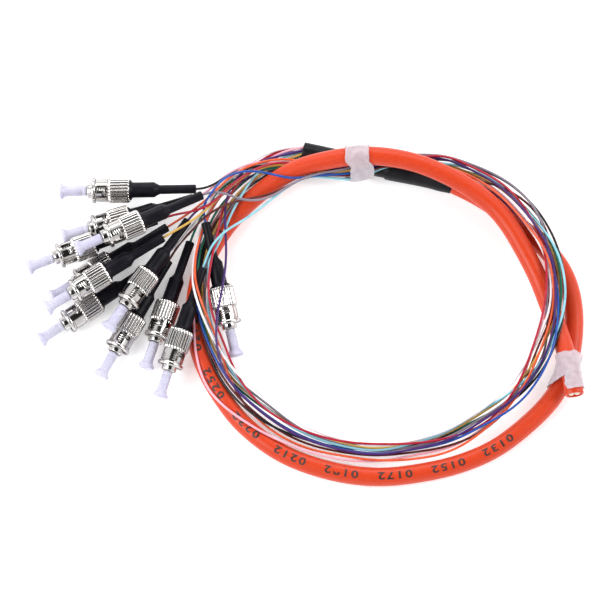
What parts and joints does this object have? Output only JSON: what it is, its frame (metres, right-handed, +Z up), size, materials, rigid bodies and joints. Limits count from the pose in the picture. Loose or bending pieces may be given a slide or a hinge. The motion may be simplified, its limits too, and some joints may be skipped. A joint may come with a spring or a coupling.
{
  "type": "multi-fibre pigtail",
  "caption": "Coiled orange trunk cable that breaks out into coloured fibres, each ending in a bayonet connector with a strain-relief boot and a dust cap.",
  "frame": {"origin": "bottom centre of the bounding box, on the floor it lies on", "axes": "+X to the right of the picture (along the coil's long side), +Y away from the camera, +Z up"},
  "size_m": [0.2082, 0.1324, 0.0244],
  "materials": {
    "jacket_orange": "satin PVC cable jacket",
    "shrink_black": "satin heat-shrink",
    "jacket_rose": "tight buffer jacket, satin",
    "jacket_black": "tight buffer jacket, satin",
    "jacket_brown": "tight buffer jacket, satin",
    "jacket_green": "tight buffer jacket, satin",
    "jacket_yellow": "tight buffer jacket, satin",
    "jacket_slate": "tight buffer jacket, satin",
    "jacket_blue": "tight buffer jacket, satin",
    "jacket_aqua": "tight buffer jacket, satin",
    "jacket_white": "tight buffer jacket, satin",
    "jacket_orange.001": "tight buffer jacket, satin",
    "jacket_red": "tight buffer jacket, satin",
    "jacket_violet": "tight buffer jacket, satin",
    "tape_white": "thin translucent tape",
    "boot_black": "matt strain-relief rubber",
    "nickel": "nickel plated, knurled",
    "cap_clear": "milky translucent soft plastic"
  },
  "bodies": {
    "pigtail": {"trunk_cable": "jacket_orange", "heat_shrink_sleeve": "shrink_black", "fibre_rose": "jacket_rose", "fibre_black": "jacket_black", "fibre_brown": "jacket_brown", "fibre_green": "jacket_green", "fibre_yellow": "jacket_yellow", "fibre_slate": "jacket_slate", "fibre_blue": "jacket_blue", "fibre_aqua": "jacket_aqua", "fibre_white": "jacket_white", "fibre_orange": "jacket_orange.001", "fibre_red": "jacket_red", "fibre_violet": "jacket_violet", "tape_top": "tape_white", "tape_right": "tape_white", "connector_body_01": "boot_black", "connector_body_02": "boot_black", "connector_body_03": "boot_black", "connector_body_04": "boot_black", "connector_body_05": "boot_black", "connector_body_06": "boot_black", "connector_body_07": "boot_black", "connector_body_08": "boot_black", "connector_body_09": "boot_black", "connector_body_10": "boot_black", "connector_body_11": "boot_black", "connector_body_12": "boot_black"},
    "nut_01": {"nut_01": "nickel"},
    "dust_cap_01": {"dust_cap_01": "cap_clear"},
    "nut_02": {"nut_02": "nickel"},
    "dust_cap_02": {"dust_cap_02": "cap_clear"},
    "nut_03": {"nut_03": "nickel"},
    "dust_cap_03": {"dust_cap_03": "cap_clear"},
    "nut_04": {"nut_04": "nickel"},
    "dust_cap_04": {"dust_cap_04": "cap_clear"},
    "nut_05": {"nut_05": "nickel"},
    "dust_cap_05": {"dust_cap_05": "cap_clear"},
    "nut_06": {"nut_06": "nickel"},
    "dust_cap_06": {"dust_cap_06": "cap_clear"},
    "nut_07": {"nut_07": "nickel"},
    "dust_cap_07": {"dust_cap_07": "cap_clear"},
    "nut_08": {"nut_08": "nickel"},
    "dust_cap_08": {"dust_cap_08": "cap_clear"},
    "nut_09": {"nut_09": "nickel"},
    "dust_cap_09": {"dust_cap_09": "cap_clear"},
    "nut_10": {"nut_10": "nickel"},
    "dust_cap_10": {"dust_cap_10": "cap_clear"},
    "nut_11": {"nut_11": "nickel"},
    "dust_cap_11": {"dust_cap_11": "cap_clear"},
    "nut_12": {"nut_12": "nickel"},
    "dust_cap_12": {"dust_cap_12": "cap_clear"}
  },
  "joints": [
    {"name": "nut_01_spin", "type": "hinge", "parent": "pigtail", "child": "nut_01", "pos_m": [-0.07204, 0.04681, 0.00682], "axis": [0.9958, -0.0088, 0.0917], "continuous": true},
    {"name": "dust_cap_01_pull", "type": "slide", "parent": "pigtail", "child": "dust_cap_01", "axis": [-0.9958, 0.0088, -0.0917], "range_m": [0, 0.009]},
    {"name": "nut_02_spin", "type": "hinge", "parent": "pigtail", "child": "nut_02", "pos_m": [-0.07179, 0.03487, 0.00533], "axis": [0.9556, 0.2945, 0], "continuous": true},
    {"name": "dust_cap_02_pull", "type": "slide", "parent": "pigtail", "child": "dust_cap_02", "axis": [-0.9556, -0.2945, 0], "range_m": [0, 0.009]},
    {"name": "nut_03_spin", "type": "hinge", "parent": "pigtail", "child": "nut_03", "pos_m": [-0.06685, 0.02853, 0.01957], "axis": [0.911, 0.4118, -0.0227], "continuous": true},
    {"name": "dust_cap_03_pull", "type": "slide", "parent": "pigtail", "child": "dust_cap_03", "axis": [-0.911, -0.4118, 0.0227], "range_m": [0, 0.009]},
    {"name": "nut_04_spin", "type": "hinge", "parent": "pigtail", "child": "nut_04", "pos_m": [-0.08474, 0.02271, 0.01107], "axis": [0.9379, 0.3445, 0.0422], "continuous": true},
    {"name": "dust_cap_04_pull", "type": "slide", "parent": "pigtail", "child": "dust_cap_04", "axis": [-0.9379, -0.3445, -0.0422], "range_m": [0, 0.009]},
    {"name": "nut_05_spin", "type": "hinge", "parent": "pigtail", "child": "nut_05", "pos_m": [-0.07946, 0.00937, 0.01458], "axis": [0.8523, 0.5199, 0.0573], "continuous": true},
    {"name": "dust_cap_05_pull", "type": "slide", "parent": "pigtail", "child": "dust_cap_05", "axis": [-0.8523, -0.5199, -0.0573], "range_m": [0, 0.009]},
    {"name": "nut_06_spin", "type": "hinge", "parent": "pigtail", "child": "nut_06", "pos_m": [-0.07802, 0.01602, 0.00533], "axis": [0.8462, 0.5329, 0], "continuous": true},
    {"name": "dust_cap_06_pull", "type": "slide", "parent": "pigtail", "child": "dust_cap_06", "axis": [-0.8462, -0.5329, 0], "range_m": [0, 0.009]},
    {"name": "nut_07_spin", "type": "hinge", "parent": "pigtail", "child": "nut_07", "pos_m": [-0.08244, 0.00033, 0.00533], "axis": [0.8207, 0.5714, 0], "continuous": true},
    {"name": "dust_cap_07_pull", "type": "slide", "parent": "pigtail", "child": "dust_cap_07", "axis": [-0.8207, -0.5714, 0], "range_m": [0, 0.009]},
    {"name": "nut_08_spin", "type": "hinge", "parent": "pigtail", "child": "nut_08", "pos_m": [-0.06163, 0.00733, 0.014], "axis": [0.5772, 0.8165, -0.0112], "continuous": true},
    {"name": "dust_cap_08_pull", "type": "slide", "parent": "pigtail", "child": "dust_cap_08", "axis": [-0.5772, -0.8165, 0.0112], "range_m": [0, 0.009]},
    {"name": "nut_09_spin", "type": "hinge", "parent": "pigtail", "child": "nut_09", "pos_m": [-0.06623, -0.00769, 0.00533], "axis": [0.494, 0.8695, 0], "continuous": true},
    {"name": "dust_cap_09_pull", "type": "slide", "parent": "pigtail", "child": "dust_cap_09", "axis": [-0.494, -0.8695, 0], "range_m": [0, 0.009]},
    {"name": "nut_10_spin", "type": "hinge", "parent": "pigtail", "child": "nut_10", "pos_m": [-0.05272, -0.00297, 0.00533], "axis": [0.3214, 0.9469, 0], "continuous": true},
    {"name": "dust_cap_10_pull", "type": "slide", "parent": "pigtail", "child": "dust_cap_10", "axis": [-0.3214, -0.9469, 0], "range_m": [0, 0.009]},
    {"name": "nut_11_spin", "type": "hinge", "parent": "pigtail", "child": "nut_11", "pos_m": [-0.0476, -0.01492, 0.0098], "axis": [0.3139, 0.9439, 0.1021], "continuous": true},
    {"name": "dust_cap_11_pull", "type": "slide", "parent": "pigtail", "child": "dust_cap_11", "axis": [-0.3139, -0.9439, -0.1021], "range_m": [0, 0.009]},
    {"name": "nut_12_spin", "type": "hinge", "parent": "pigtail", "child": "nut_12", "pos_m": [-0.02966, 0.00209, 0.00753], "axis": [-0.2226, 0.9583, 0.179], "continuous": true},
    {"name": "dust_cap_12_pull", "type": "slide", "parent": "pigtail", "child": "dust_cap_12", "axis": [0.2226, -0.9583, -0.179], "range_m": [0, 0.009]}
  ]
}
